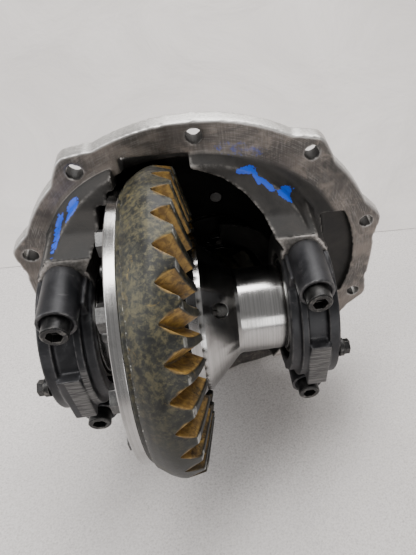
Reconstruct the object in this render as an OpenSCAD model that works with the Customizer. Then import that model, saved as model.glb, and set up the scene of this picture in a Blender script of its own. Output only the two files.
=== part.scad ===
// Drop-out axle centre section: a cast carrier that bolts to an axle housing by its round
// flange, with a hypoid ring gear and pinion and a two-pinion bevel differential.
// Origin: centre of the flange's machined face. X runs along the axle, Y along the pinion
// towards the drive shaft, Z is up. Millimetres.

/* [Flange] */
// Radius of the flange's plain rim
flange_r = 138.5; // [137.5:0.5:139.5]
// Thickness of the flange
flange_t = 12.7; // [11:0.1:14]
// Radius of the circle of stud holes
stud_circle_r = 134; // [133:0.5:135]
// Distance of the top stud hole from the centre, which is a little less
top_stud_r = 127.7; // [127:0.1:128.5]
// Radius of a stud hole
stud_hole_r = 5.2; // [4.8:0.1:5.6]
// Radius of the ear round a stud hole
ear_r = 12; // [11.5:0.5:13]

/* [Axle line] */
// How far the axle line stands in front of the flange face
axle_ahead = 41; // [40:0.5:42]
// Where the middle of the two side bearings lies across the flange
case_x = -14; // [-15:0.5:-13]
// Half the distance between the two bearing caps
cap_half_span = 81.5; // [81:0.5:82]

/* [Bearing caps] */
// Width of a bearing cap along the axle
cap_w = 34; // [33:0.5:35]
// Distance of a cap screw from the axle line
cap_screw_z = 55; // [54.5:0.5:56]
// Radius of the boss round a cap screw
cap_boss_r = 12.3; // [12:0.1:12.5]
// Length of a cap screw's boss in front of the parting plane
cap_boss_l = 40; // [38:0.5:41]

/* [Ring gear and pinion] */
// Outer radius of the ring gear
ring_r = 114.3; // [114:0.1:114.5]
// Number of teeth on the ring gear
ring_n = 32; // [32]
// Number of teeth on the pinion
pinion_n = 7; // [7]
// How far the pinion lies below the axle line
pinion_drop = 60.3; // [60:0.1:60.5]
// Where the pinion lies across the flange
pinion_x = 12.5; // [12:0.1:13]
// Clearance between the teeth, in degrees of one tooth pitch
mesh_gap = 12; // [11:0.5:13]

/* [Differential gears] */
// Number of teeth on a side gear
side_n = 18; // [18]
// Number of teeth on a spider gear
spider_n = 12; // [12]
// Module of the differential gears
bevel_m = 3.6; // [3.5:0.05:3.6]
// Radius of the cross shaft
cross_r = 9.5; // [9:0.1:9.6]
// Radius of the axle shaft's bore in a side gear
axle_bore_r = 16.5; // [16:0.1:17]

/* [Hidden] */
$fn = 96;
axle_y = -axle_ahead;
pinion_z = -pinion_drop;
stud_n = 10;
function stud_r(i) = i == 0 ? top_stud_r : stud_circle_r;
cap_x = [case_x - cap_half_span, case_x + cap_half_span];

// carrier casting
bowl_r = 118;
bowl_wall = 8;
arm_outer = [11.7, 23.9, 91.3]; // centre of the right arm's outer curve from the case, and radius
arm_inner = [-20.2, 16.5, 96.3];
arm_bevel = [4.5, 8];
saddle_boss_r = 15.5;
support_face_y = 92;
support_pilot_r = 62;
support_body_r = 72;
support_bolt_r = 86;
support_ear_r = 16;
support_n = 5;
pilot_r = 15;
pilot_y = [-9, 6.4];
window_x = [-50, -5];
window_z = 116;
arm_gap_x = [-56, -5];

// side bearings, adjusters and locks
side_bearing = [25.4, 41.28, 21.6];
hub_r = 32.5;
cone_face = [case_x - 65.5, case_x + 65.5];
cup_seat_r = 41.3;
thread_r = 44.4;
adjuster_bore_r = 30;
adjuster_notches = 24;
lock_r = 49.5;

// differential case
diff_x = -23;
cavity_r = 45;
thrust_x = 33;
flange_x = [-59.5, -52];
case_flange_r = 101;
ring_bolt_r = 82;
ring_bolt_n = 10;
cover_t = 6;
cover_r = 65;
cover_screw_r = 57;
cover_screw_n = 8;
cone_sum = 49;
barrel_r = 63;
neck_r = 56.5;
axle_clear_r = 20;

// ring gear section
ring_back_x = -52;
ring_bore_r = 70;
toe_r = 78;
heel_r = 112;
tip_heel_x = -17.5;
tip_toe_x = -9;
root_heel_x = -29.6;
root_toe_x = -18.5;
tip_half = 47;
root_half = 169;

// pinion shaft line
head_y = [8, 54.5];
inner_bearing = [19, 38, 26];
inner_face_y = 66;
outer_bearing = [16.5, 34, 22];
outer_face_y = 134;
pinion_shaft_r = 16.4;
yoke_axis_y = 205;
yoke_saddle_r = 15.1;
yoke_half_span = 46;

// ---------- shapes that repeat ----------

// A cylinder along the axle line from x0 to x1.
module on_axle(x0, x1, r) {
    translate([x0, axle_y, 0]) rotate([0, 90, 0]) cylinder(h = x1 - x0, r = r);
}

// A cylinder parallel to Y through (x, z) from y0 to y1.
module along_y(x, z, y0, y1, r) {
    translate([x, y0, z]) rotate([-90, 0, 0]) cylinder(h = y1 - y0, r = r);
}

// A profile of [radius, x] points turned round the axle line.
module turned_on_axle(points) {
    translate([0, axle_y, 0]) rotate([0, 90, 0]) rotate_extrude() polygon(points);
}

// A profile of [radius, y] points turned round the pinion's axis.
module turned_on_pinion(points) {
    translate([pinion_x, 0, pinion_z]) rotate([-90, 0, 0]) rotate_extrude() polygon(points);
}

// Puts its children, drawn in X and Z as a flat shape, between y0 and y1.
module slab_y(y0, y1) {
    translate([0, y1, 0]) rotate([90, 0, 0]) linear_extrude(y1 - y0) children();
}

// Puts its children, drawn in Y and Z as a flat shape, between x0 and x1.
module slab_x(x0, x1) {
    translate([x0, 0, 0]) rotate([90, 0, 90]) linear_extrude(x1 - x0) children();
}

module box_between(a, b) {
    translate(a) cube(b - a);
}

// A socket-head screw along +Z, its head on top of z = 0 and its shank below.
module socket_screw(shank_r, shank_l, head_r, head_h, socket_r) {
    difference() {
        union() {
            cylinder(h = head_h - 0.8, r = head_r);
            translate([0, 0, head_h - 0.8]) cylinder(h = 0.8, r1 = head_r, r2 = head_r - 0.8);
            translate([0, 0, -shank_l]) cylinder(h = shank_l + 0.1, r = shank_r);
        }
        translate([0, 0, head_h * 0.45]) cylinder(h = head_h, r = socket_r, $fn = 6);
    }
}

// A hex-head bolt along +Z with a washer face.
module hex_bolt(shank_r, shank_l, flats, head_h) {
    cylinder(h = 0.7, r = flats / 2);
    translate([0, 0, 0.6]) cylinder(h = head_h - 0.6, r = flats / sqrt(3), $fn = 6);
    translate([0, 0, -shank_l]) cylinder(h = shank_l + 0.1, r = shank_r);
}

// ---------- tapered roller bearings, axis +Z from small end to large end ----------
// b = [bore radius, cup radius, width]

function depth_of(b) = b[1] - b[0];
function at(b, share) = b[0] + share * depth_of(b);

module bearing_cone(b) {
    rotate_extrude() polygon([
        [b[0], 0.02 * b[2]], [at(b, 0.27), 0.02 * b[2]], [at(b, 0.27), 0.1 * b[2]],
        [at(b, 0.21), 0.12 * b[2]], [at(b, 0.39), 0.88 * b[2]], [at(b, 0.5), 0.89 * b[2]],
        [at(b, 0.5), b[2]], [b[0], b[2]]
    ]);
}

module bearing_cup(b) {
    rotate_extrude() polygon([
        [at(b, 0.64), 0], [b[1], 0], [b[1], 0.82 * b[2]], [at(b, 0.89), 0.82 * b[2]]
    ]);
}

function roller_r0(b) = 0.19 * depth_of(b);
function roller_r1(b) = 0.21 * depth_of(b);

module bearing_rollers(b, count, grow = 0) {
    lean = atan2(at(b, 0.63) - at(b, 0.44), 0.66 * b[2]);
    for (i = [0 : count - 1])
        rotate([0, 0, i * 360 / count]) translate([at(b, 0.44), 0, 0.17 * b[2]]) rotate([0, lean, 0])
            translate([0, 0, -grow])
                cylinder(h = 0.68 * b[2] + 2 * grow, r1 = roller_r0(b) + grow, r2 = roller_r1(b) + grow);
}

module bearing_cage(b, count) {
    difference() {
        rotate_extrude() polygon([
            [at(b, 0.38), 0.03 * b[2]], [at(b, 0.45), 0.03 * b[2]],
            [at(b, 0.7), 0.94 * b[2]], [at(b, 0.63), 0.94 * b[2]]
        ]);
        bearing_rollers(b, count, 0.3);
    }
}

// Puts a bearing on the axle line with its large end against the case shoulder.
module at_side(side) {
    s = side == 0 ? -1 : 1;
    translate([cone_face[side] + s * side_bearing[2], axle_y, 0]) rotate([0, -90 * s, 0]) children();
}

module at_inner() {
    translate([pinion_x, inner_face_y + inner_bearing[2], pinion_z]) rotate([90, 0, 0]) children();
}

module at_outer() {
    translate([pinion_x, outer_face_y - outer_bearing[2], pinion_z]) rotate([-90, 0, 0]) children();
}

// ---------- carrier casting ----------

module flange_outline() {
    circle(flange_r);
    for (i = [0 : stud_n - 1]) rotate(90 + i * 360 / stud_n) {
        ear = i == 0 ? 11 : ear_r;
        tip = stud_r(i) + ear;
        translate([stud_r(i), 0]) circle(ear);
        if (i > 0) polygon([
            [flange_r - 6, -26], [flange_r + 1.5, -15], [tip - 1.5, -5.5],
            [tip - 1.5, 5.5], [flange_r + 1.5, 15], [flange_r - 6, 26]
        ]);
    }
}

module bowl_ball(r) {
    translate([case_x, axle_y, 0]) sphere(r);
}

// The boss and its ears that the pinion support bolts to.
module support_boss() {
    along_y(pinion_x, pinion_z, 30, support_face_y, support_body_r);
    for (i = [0 : support_n - 1]) {
        a = 90 + i * 360 / support_n;
        along_y(pinion_x + support_bolt_r * cos(a), pinion_z + support_bolt_r * sin(a),
                66, support_face_y, support_ear_r);
    }
}

// Ribs that run from the pinion boss over the bowl to the flange.
module bowl_ribs() {
    intersection() {
        bowl_ball(bowl_r + bowl_wall + 7);
        for (a = [28, 90, 152, 205, 335])
            translate([pinion_x, 0, pinion_z]) rotate([0, -a, 0])
                translate([30, flange_t - 4, -4.5]) cube([190, 120, 9]);
        slab_y(flange_t - 4, 120) circle(flange_r - 12);
    }
}

// The right arm before it is trimmed: a bevelled disc less the round opening, above or below.
module arm_disc(up) {
    difference() {
        translate([case_x + arm_outer[0], 0, up * arm_outer[1]]) rotate([90, 0, 0]) union() {
            cylinder(h = arm_bevel[1], r1 = arm_outer[2], r2 = arm_outer[2] - arm_bevel[0]);
            cylinder(h = -axle_y, r = arm_outer[2] - arm_bevel[0]);
            translate([0, 0, -flange_t]) cylinder(h = flange_t, r = arm_outer[2]);
        }
        along_y(case_x + arm_inner[0], up * arm_inner[1], -60, 40, arm_inner[2]);
        box_between([-150, -60, up > 0 ? -150 : 0], [150, 60, up > 0 ? 0 : 150]);
    }
}

// The walls that rise from the face to the bearing saddles, open where the ring gear turns.
module saddle_arms() {
    difference() {
        intersection() {
            for (side = [0, 1], up = [-1, 1])
                translate([side == 0 ? 2 * case_x : 0, 0, 0]) mirror([side == 0 ? 1 : 0, 0, 0])
                    difference() {
                        arm_disc(up);
                        box_between([-150, -60, -150], [case_x, 60, 150]);
                    }
            slab_x(-150, 150) polygon([
                [flange_t, -118], [flange_t, 118], [-8, 118], [-8, 100], [-14, 88], [-24, 77], [-34, 73],
                [-41, 70], [-41, -70], [-34, -73], [-24, -77], [-14, -88], [-8, -100], [-8, -118]
            ]);
        }
        box_between([arm_gap_x[0], -60, -130], [arm_gap_x[1], 30, 130]);
    }
}

// One saddle: the half ring behind a bearing, its bolt bosses and the web into the bowl.
module saddle(side) {
    x = cap_x[side];
    s = side == 0 ? -1 : 1;
    intersection() {
        union() {
            on_axle(x - cap_w / 2, x + cap_w / 2, 57);
            for (z = [-cap_screw_z, cap_screw_z]) along_y(x, z, axle_y, 24, saddle_boss_r);
            box_between([x - 9, axle_y, -71], [x + 9, 60, 71]);
        }
        bowl_ball(bowl_r + 2);
        box_between([-200, axle_y, -150], [200, 120, 150]);
    }
}

module pilot_web() {
    along_y(pinion_x, pinion_z, pilot_y[0], pilot_y[1], pilot_r + 4.5);
    intersection() {
        box_between([pinion_x - 13, pilot_y[0] + 1, -125], [pinion_x + 13, pilot_y[1] - 1, pinion_z]);
        bowl_ball(bowl_r + 2);
    }
}

// A shallow cast pocket in the flange face beside the right saddle.
module face_pocket() {
    slab_y(-1, 6) intersection() {
        difference() {
            circle(120.5);
            for (up = [-1, 1]) translate([case_x + arm_outer[0], up * arm_outer[1]]) circle(arm_outer[2] + 4);
        }
        translate([80, -38]) square([60, 92]);
    }
}

module carrier_housing() {
    color("dimgray") difference() {
        union() {
            difference() {
                union() {
                    slab_y(0, flange_t) flange_outline();
                    intersection() {
                        bowl_ball(bowl_r + bowl_wall);
                        box_between([-150, flange_t - 2, -150], [150, 150, 150]);
                    }
                    bowl_ribs();
                    support_boss();
                }
                bowl_ball(bowl_r);
                box_between([window_x[0], -1, -window_z], [window_x[1], flange_t + 6, window_z]);
            }
            saddle_arms();
            saddle(0);
            saddle(1);
            pilot_web();
        }
        // stud holes
        for (i = [0 : stud_n - 1]) {
            a = 90 + i * 360 / stud_n;
            along_y(stud_r(i) * cos(a), stud_r(i) * sin(a), -1, 30, stud_hole_r);
        }
        face_pocket();
        // room for the turning case flange and the heads of its bolts
        on_axle(flange_x[0] - 1.5, arm_gap_x[0] + 1, case_flange_r + 1.5);
        on_axle(flange_x[0] - 9.5, flange_x[0], ring_bolt_r + 12);
        // bore for the pinion support
        along_y(pinion_x, pinion_z, 14, 46, 41);
        along_y(pinion_x, pinion_z, 45, support_face_y + 1, support_pilot_r + 0.1);
        for (i = [0 : support_n - 1]) {
            a = 90 + i * 360 / support_n;
            along_y(pinion_x + support_bolt_r * cos(a), pinion_z + support_bolt_r * sin(a),
                    68, support_face_y + 1, 5.2);
        }
        along_y(pinion_x, pinion_z, pilot_y[0] - 1, pilot_y[1] + 1, pilot_r);
        // bearing seats and the way in for adjusters and axle shafts
        for (side = [0, 1]) {
            s = side == 0 ? -1 : 1;
            on_axle(cap_x[side] - 30, cap_x[side] + 30, cup_seat_r);
            on_axle(min(seat_end(side), cap_x[side] + s * 30), max(seat_end(side), cap_x[side] + s * 30), thread_r);
            for (z = [-cap_screw_z, cap_screw_z]) along_y(cap_x[side], z, axle_y - 1, -10, 5.7);
        }
    }
}

// Where the bearing seat ends and the adjuster's thread begins.
function seat_end(side) = cone_face[side] + (side == 0 ? -1 : 1) * (side_bearing[2] + 0.1);

// ---------- bearing caps, their screws, adjusters and locks ----------

// One cap drawn round x = 0 with its outer side towards +X and the parting plane at y = 0.
module cap_body() {
    difference() {
        union() {
            rotate([0, 90, 0]) translate([0, 0, -cap_w / 2]) cylinder(h = cap_w, r = 50.5);
            // two rails with a channel between them
            rotate([0, 90, 0]) translate([0, 0, -10]) cylinder(h = 5, r = 55);
            rotate([0, 90, 0]) translate([0, 0, 9]) cylinder(h = cap_w / 2 - 9, r = 55);
            // machined pad
            translate([-5, -56, -30]) cube([15, 30, 46]);
            for (z = [-cap_screw_z, cap_screw_z])
                translate([0, -cap_boss_l, z]) rotate([-90, 0, 0]) cylinder(h = cap_boss_l, r = cap_boss_r);
            for (z = [-cap_screw_z, cap_screw_z])
                translate([-cap_w / 2 + 2, -24, z < 0 ? -cap_screw_z : 30]) cube([cap_w - 4, 24, cap_screw_z - 30]);
        }
        translate([-50, 0, -100]) cube([100, 100, 200]);
        // spot faces and holes for the cap screws
        for (z = [-cap_screw_z, cap_screw_z]) {
            translate([0, -cap_boss_l - 30, z]) rotate([-90, 0, 0]) cylinder(h = 32, r = 9.8);
            translate([0, -60, z]) rotate([-90, 0, 0]) cylinder(h = 70, r = 5.8);
        }
        translate([-50, 0, 0]) rotate([0, 90, 0]) cylinder(h = 100, r = cup_seat_r);
        translate([4.7, 0, 0]) rotate([0, 90, 0]) cylinder(h = 50, r = thread_r);
        translate([6, -lock_r, 5]) rotate([0, 90, 0]) cylinder(h = 50, r = 2.6);
    }
}

module bearing_cap(side) {
    color("darkslategray") translate([cap_x[side], axle_y, 0]) mirror([side == 0 ? 1 : 0, 0, 0]) cap_body();
}

module cap_screws() {
    color("dimgray") for (side = [0, 1], z = [-cap_screw_z, cap_screw_z])
        translate([cap_x[side], axle_y - cap_boss_l + 2, z]) rotate([90, 0, 0])
            socket_screw(5.5, 60, 8.4, 11.1, 5.45);
}

// A threaded ring that sits inside the saddle and cap, with notches for the lock in its face.
module adjuster_body() {
    difference() {
        translate([5.8, 0, 0]) rotate([0, 90, 0]) cylinder(h = cap_w / 2 - 6, r = thread_r - 0.15);
        rotate([0, 90, 0]) cylinder(h = 60, r = adjuster_bore_r);
        for (i = [0 : adjuster_notches - 1]) rotate([i * 360 / adjuster_notches, 0, 0])
            translate([cap_w / 2 - 4, -thread_r - 1, -2.7]) cube([8, 8, 5.4]);
    }
}

module adjuster(side) {
    color("gray") translate([cap_x[side], axle_y, 0]) mirror([side == 0 ? 1 : 0, 0, 0])
        adjuster_body();
}

// A stamped lock: a round eye on the screw and a finger in one of the adjuster's notches.
module adjuster_lock(side) {
    color("silver") translate([cap_x[side], axle_y, 0]) mirror([side == 0 ? 1 : 0, 0, 0])
        translate([cap_w / 2, 0, 0]) difference() {
            union() {
                translate([0, -lock_r, 5]) rotate([0, 90, 0]) cylinder(h = 3, r = 6.5);
                translate([0, -lock_r, -2]) cube([3, 12, 8]);
                translate([-3, -43, -2]) cube([6, 4, 4]);
            }
            translate([-1, -lock_r, 5]) rotate([0, 90, 0]) cylinder(h = 10, r = 3.2);
        }
}

module lock_screws() {
    color("dimgray") for (side = [0, 1])
        translate([cap_x[side], axle_y, 0]) mirror([side == 0 ? 1 : 0, 0, 0])
            translate([cap_w / 2 + 3, -lock_r, 5]) rotate([0, 90, 0]) hex_bolt(2.5, 12, 9.5, 4.5);
}

// ---------- side bearings ----------

side_count = 22;

module side_cup(side) { color("silver") at_side(side) bearing_cup(side_bearing); }

module side_cone(side) { color("silver") at_side(side) bearing_cone(side_bearing); }

module side_cage(side) { color("darkgoldenrod") at_side(side) bearing_cage(side_bearing, side_count); }

module side_rollers(side) { color("silver") at_side(side) bearing_rollers(side_bearing, side_count); }

// ---------- differential case ----------

module radial_on_axle(x, a, h, r) {
    translate([x, axle_y, 0]) rotate([a, 0, 0]) rotate([-90, 0, 0]) cylinder(h = h, r = r);
}

module diff_case() {
    color("silver") difference() {
        turned_on_axle([
            [40, flange_x[0]], [case_flange_r - 0.6, flange_x[0]], [case_flange_r, flange_x[0] + 0.6],
            [case_flange_r, flange_x[1] - 0.6], [case_flange_r - 0.6, flange_x[1]],
            [ring_bore_r - 0.1, flange_x[1]], [ring_bore_r - 0.1, -40], [barrel_r, -39], [barrel_r, -17],
            [neck_r, -11], [neck_r, cone_sum - neck_r], [hub_r + 1.2, cone_sum - hub_r - 1.2],
            [hub_r, cone_sum - hub_r + 1.5], [hub_r, cone_face[1] - 1], [hub_r - 1, cone_face[1]],
            [side_bearing[0], cone_face[1]], [side_bearing[0], cone_face[1] + 21.5],
            [side_bearing[0] - 1, cone_face[1] + 22.5], [10, cone_face[1] + 22.5], [10, -20], [40, -20]
        ]);
        // cavity for the gears: a cylinder that ends in half a ball
        on_axle(flange_x[0] - 1, diff_x, cavity_r);
        intersection() {
            translate([diff_x, axle_y, 0]) sphere(cavity_r);
            on_axle(diff_x - 1, diff_x + thrust_x, cavity_r + 1);
        }
        on_axle(-20, 100, axle_clear_r);
        // cross shaft bore and its lock pin
        translate([diff_x, axle_y, -80]) cylinder(h = 160, r = cross_r + 0.02);
        translate([-70, axle_y, 54]) rotate([0, 90, 0]) cylinder(h = 52, r = 2.55);
        // oil holes through the cone
        for (a = [128, 308]) radial_on_axle(4, a, 70, 5.5);
        ring_circle(ring_bolt_r, ring_bolt_n, -80, -40, 5.7, 18);
        ring_circle(cover_screw_r, cover_screw_n, -80, -48, 3.2, 0);
    }
}

// A circle of holes parallel to the axle line.
module ring_circle(radius, count, x0, x1, r, start) {
    for (i = [0 : count - 1]) {
        a = start + i * 360 / count;
        translate([x0, axle_y + radius * cos(a), radius * sin(a)]) rotate([0, 90, 0])
            cylinder(h = x1 - x0, r = r);
    }
}

module case_cover() {
    cover_x = flange_x[0] - cover_t;
    color("silver") difference() {
        turned_on_axle([
            [axle_clear_r, diff_x - thrust_x], [cavity_r - 0.05, diff_x - thrust_x],
            [cavity_r - 0.05, flange_x[0] - 0.02], [cover_r, flange_x[0] - 0.02], [cover_r, cover_x + 1],
            [cover_r - 1, cover_x], [hub_r + 2, cover_x], [hub_r, cover_x - 2],
            [hub_r, cone_face[0] + 1], [hub_r - 1, cone_face[0]], [side_bearing[0], cone_face[0]],
            [side_bearing[0], cone_face[0] - 21.5], [side_bearing[0] - 1, cone_face[0] - 22.5],
            [axle_clear_r, cone_face[0] - 22.5]
        ]);
        ring_circle(cover_screw_r, cover_screw_n, -80, -50, 3.3, 0);
    }
}

module cover_screws() {
    color("dimgray") for (i = [0 : cover_screw_n - 1]) {
        a = i * 360 / cover_screw_n;
        translate([flange_x[0] - cover_t, axle_y + cover_screw_r * cos(a), cover_screw_r * sin(a)])
            rotate([0, -90, 0]) socket_screw(3.0, 16, 5, 6, 2.9);
    }
}

module ring_gear_bolts() {
    color("dimgray") for (i = [0 : ring_bolt_n - 1]) {
        a = 18 + i * 360 / ring_bolt_n;
        translate([flange_x[0], axle_y + ring_bolt_r * cos(a), ring_bolt_r * sin(a)])
            rotate([0, -90, 0]) hex_bolt(5.4, 29, 15.9, 7.5);
    }
}

module cross_shaft() {
    color("silver") difference() {
        translate([diff_x, axle_y, -62]) cylinder(h = 124, r = cross_r);
        translate([-70, axle_y, 54]) rotate([0, 90, 0]) cylinder(h = 80, r = 2.55);
    }
}

module cross_shaft_pin() {
    color("gray") translate([-42, axle_y, 54]) rotate([0, 90, 0]) cylinder(h = 23, r = 2.45);
}

// ---------- ring gear ----------

// Heights of the tooth tips and roots across the face, and the tooth's lean round the gear.
function tip_x(r) = tip_heel_x + (tip_toe_x - tip_heel_x) * (heel_r - r) / (heel_r - toe_r);
function root_x(r) = root_heel_x + (root_toe_x - root_heel_x) * (heel_r - r) / (heel_r - toe_r);
function spiral(r) = 3.6 + (0.716 * ln(r / 96) - 0.0093 * (r - 96)) * 180 / PI;
// Half of a tooth's width at height x, in degrees of one pitch
function tooth_half(r, x) = tip_half + (tip_x(r) - x) / (tip_x(r) - root_x(r)) * (root_half - tip_half);

face_radii = [heel_r, 105, 98, 91, 84.5, toe_r];

// The section of the gear on a tip line (top = 1) or a root line (top = 0), as [radius, x].
function ring_section(top) = concat(
    [[ring_bore_r, ring_back_x], [case_flange_r + 0.5, ring_back_x], [case_flange_r + 0.5, -49],
     [105, -49], [110.6, -41], [113.4, -35], [ring_r, root_heel_x - 1]],
    [for (r = face_radii) [r == heel_r && top == 0 ? ring_r - 0.3 : r, top == 1 ? tip_x(r) : root_x(r)]],
    [[toe_r - 2.5, root_toe_x - 0.4], [ring_bore_r, root_toe_x - 3]]
);

module ring_teeth() {
    columns = [[-tip_half, 1], [tip_half, 1], [root_half, 0], [360 - root_half, 0]];
    width = len(ring_section(0));
    points = [
        for (i = [0 : ring_n - 1], c = columns)
            let (phase = (i * 360 + c[0]) / ring_n)
                for (p = ring_section(c[1]))
                    let (r = min(p[0], heel_r), a = phase + spiral(max(r, toe_r)))
                        [p[1], axle_y + p[0] * cos(a), p[0] * sin(a)]
    ];
    rows = ring_n * len(columns);
    faces = [
        for (i = [0 : rows - 1], j = [0 : width - 1])
            let (a = i * width + j, b = i * width + (j + 1) % width,
                 c = ((i + 1) % rows) * width + (j + 1) % width, d = ((i + 1) % rows) * width + j)
                for (t = [[a, b, c], [a, c, d]]) t
    ];
    polyhedron(points = points, faces = faces, convexity = 10);
}

module ring_gear() {
    color("darkslategray") difference() {
        ring_teeth();
        ring_circle(ring_bolt_r, ring_bolt_n, -60, -30, 5.5, 18);
    }
}

// ---------- pinion: each flank is what the turning ring gear leaves free ----------

function ring_radius(y, z) = norm([y - axle_y, z]);
// Position of a point of the pinion in the ring gear's tooth pitch, before its own angle
function pitch_phase(y, z, a) =
    ring_n * (atan2(z, y - axle_y) - spiral(ring_radius(y, z))) - pinion_n * a;
// The space that a ring tooth takes at this place, or nothing away from the face
function taken(r, x) = r < toe_r - 2 || r > heel_r + 3 || x > tip_x(r) + 0.8 ? -900
    : min(tooth_half(r, x), 176) + mesh_gap;
sweep = [for (a = [-147 : 3 : -33]) a];
function flank(rho, y, side) =
    let (limits = [for (a = sweep)
            let (x = pinion_x + rho * sin(a), z = pinion_z + rho * cos(a),
                 t = taken(ring_radius(y, z), x), p = pitch_phase(y, z, a))
                side < 0 ? (t - p) : (360 - t - p)])
        (side < 0 ? max(limits) : min(limits)) / pinion_n;

function pinion_root(y) = pinion_x - tip_x(ring_radius(y, pinion_z)) - 1.2;
function pinion_tip(y) = pinion_x - root_x(min(ring_radius(y, pinion_z), heel_r)) - 1.2;
// Tooth levels from root to tip, the flank each one uses and how much it is widened
pinion_levels = [[0, 0.12, 4], [0.12, 0.12, 0], [0.35, 0.35, 0], [0.6, 0.6, 0], [0.82, 0.82, 0]];

module pinion_teeth() {
    stations = [for (i = [0 : 10]) head_y[0] + i * (head_y[1] - head_y[0]) / 10];
    levels = len(pinion_levels);
    points = [
        for (y = stations, k = [0 : pinion_n - 1], j = [0 : 2 * levels - 1])
            let (level = pinion_levels[j < levels ? j : 2 * levels - 1 - j],
                 depth = pinion_tip(y) - pinion_root(y), rho = pinion_root(y) + level[0] * depth,
                 form = pinion_root(y) + level[1] * depth,
                 a = k * 360 / pinion_n
                     + (j < levels ? flank(form, y, -1) - level[2] : flank(form, y, 1) + level[2]))
                [pinion_x + rho * sin(a), y, pinion_z + rho * cos(a)]
    ];
    ring = pinion_n * 2 * levels;
    ends = [[pinion_x, head_y[0], pinion_z], [pinion_x, head_y[1], pinion_z]];
    first = len(stations) * ring;
    last = (len(stations) - 1) * ring;
    faces = concat(
        [for (s = [0 : len(stations) - 2], j = [0 : ring - 1])
            let (a = s * ring + j, b = s * ring + (j + 1) % ring, c = b + ring, d = a + ring)
                for (t = [[a, c, b], [a, d, c]]) t],
        [for (j = [0 : ring - 1]) [first, j, (j + 1) % ring]],
        [for (j = [0 : ring - 1]) [first + 1, last + (j + 1) % ring, last + j]]
    );
    polyhedron(points = concat(points, ends), faces = faces, convexity = 10);
}

module pinion_gear() {
    color("darkslategray") union() {
        pinion_teeth();
        turned_on_pinion([
            [0, pilot_y[0] - 1], [8.5, pilot_y[0] - 1], [9.3, pilot_y[0]], [9.3, head_y[0] - 0.5],
            [15, head_y[0] - 0.5], [19.5, head_y[0] + 3], [19.5, 20], [24, 40], [27.5, head_y[1] - 1],
            [27.5, inner_face_y - 0.1], [inner_bearing[0] - 0.02, inner_face_y - 0.1],
            [inner_bearing[0] - 0.02, inner_face_y + 25], [17.5, inner_face_y + 25.9],
            [17.5, outer_face_y - 23], [outer_bearing[0] - 0.02, outer_face_y - 22],
            [outer_bearing[0] - 0.02, outer_face_y], [pinion_shaft_r - 0.6, outer_face_y + 1],
            [pinion_shaft_r - 0.6, 164], [11, 165], [11, 180], [10, 181], [0, 181]
        ]);
    }
}

// ---------- pinion bearings, support and yoke ----------

inner_count = 16;
outer_count = 18;

module pinion_cone_inner() { color("silver") at_inner() bearing_cone(inner_bearing); }

module pinion_cone_outer() { color("silver") at_outer() bearing_cone(outer_bearing); }

module pinion_cup_inner() { color("silver") at_inner() bearing_cup(inner_bearing); }

module pinion_cup_outer() { color("silver") at_outer() bearing_cup(outer_bearing); }

module pinion_cage_inner() { color("darkgoldenrod") at_inner() bearing_cage(inner_bearing, inner_count); }

module pinion_cage_outer() { color("darkgoldenrod") at_outer() bearing_cage(outer_bearing, outer_count); }

module pinion_rollers_inner() { color("silver") at_inner() bearing_rollers(inner_bearing, inner_count); }

module pinion_rollers_outer() { color("silver") at_outer() bearing_rollers(outer_bearing, outer_count); }

module pinion_spacer() {
    spacer = [inner_face_y + inner_bearing[2], outer_face_y - outer_bearing[2]];
    color("gray") turned_on_pinion([
        [17.8, spacer[0] + 0.05], [20.5, spacer[0] + 0.05], [20.5, spacer[0] + 9], [22.5, spacer[0] + 14],
        [20.5, spacer[0] + 19], [20.5, spacer[1] - 0.05 + 0.4], [17.8, spacer[1] - 0.05 + 0.4]
    ]);
}

module pilot_bearing_cup() {
    color("silver") difference() {
        along_y(pinion_x, pinion_z, pilot_y[0] + 1, pilot_y[1] - 1, pilot_r - 0.02);
        along_y(pinion_x, pinion_z, pilot_y[0], pilot_y[1], 13.1);
    }
}

module pilot_rollers() {
    color("silver") for (i = [0 : 13]) {
        a = i * 360 / 14;
        along_y(pinion_x + 11.2 * cos(a), pinion_z + 11.2 * sin(a), pilot_y[0] + 1.5, pilot_y[1] - 1.5, 1.75);
    }
}

module pilot_retainer() {
    color("gray") difference() {
        along_y(pinion_x, pinion_z, pilot_y[0] - 1.2, pilot_y[0] - 0.1, 17);
        along_y(pinion_x, pinion_z, pilot_y[0] - 2, pilot_y[0] + 1, 12);
    }
}

module pinion_support() {
    color("gray") difference() {
        union() {
            turned_on_pinion([
                [36, 60], [support_pilot_r - 1, 60], [support_pilot_r, 61],
                [support_pilot_r, 72], [support_pilot_r - 2.4, 72], [support_pilot_r - 2.4, 76],
                [support_pilot_r, 76], [support_pilot_r, support_face_y + 0.4],
                [support_body_r, support_face_y + 0.4], [support_body_r, 102], [support_body_r - 2, 104],
                [57, 104], [50, 110], [44, 126], [41.5, 146], [30, 146], [30, 100], [36, 100]
            ]);
            for (i = [0 : support_n - 1]) {
                a = 90 + i * 360 / support_n;
                along_y(pinion_x + support_bolt_r * cos(a), pinion_z + support_bolt_r * sin(a),
                        support_face_y + 0.4, 104, support_ear_r);
                translate([pinion_x, 0, pinion_z]) rotate([0, -a - 36, 0]) translate([0, 0, -3.5])
                    linear_extrude(7) polygon([[42, 103], [68, 103], [50, 124], [42, 132]]);
            }
        }
        // relief in the nose, where the ring gear turns past it
        on_axle(-60, 13, ring_r + 3);
        along_y(pinion_x, pinion_z, 50, inner_face_y + inner_bearing[2] + 0.1, inner_bearing[1] + 0.02);
        along_y(pinion_x, pinion_z, 50, 160, 29);
        along_y(pinion_x, pinion_z, outer_face_y - outer_bearing[2] - 0.1, 160, outer_bearing[1] + 0.02);
        for (i = [0 : support_n - 1]) {
            a = 90 + i * 360 / support_n;
            along_y(pinion_x + support_bolt_r * cos(a), pinion_z + support_bolt_r * sin(a), 80, 120, 5.6);
        }
    }
}

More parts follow.
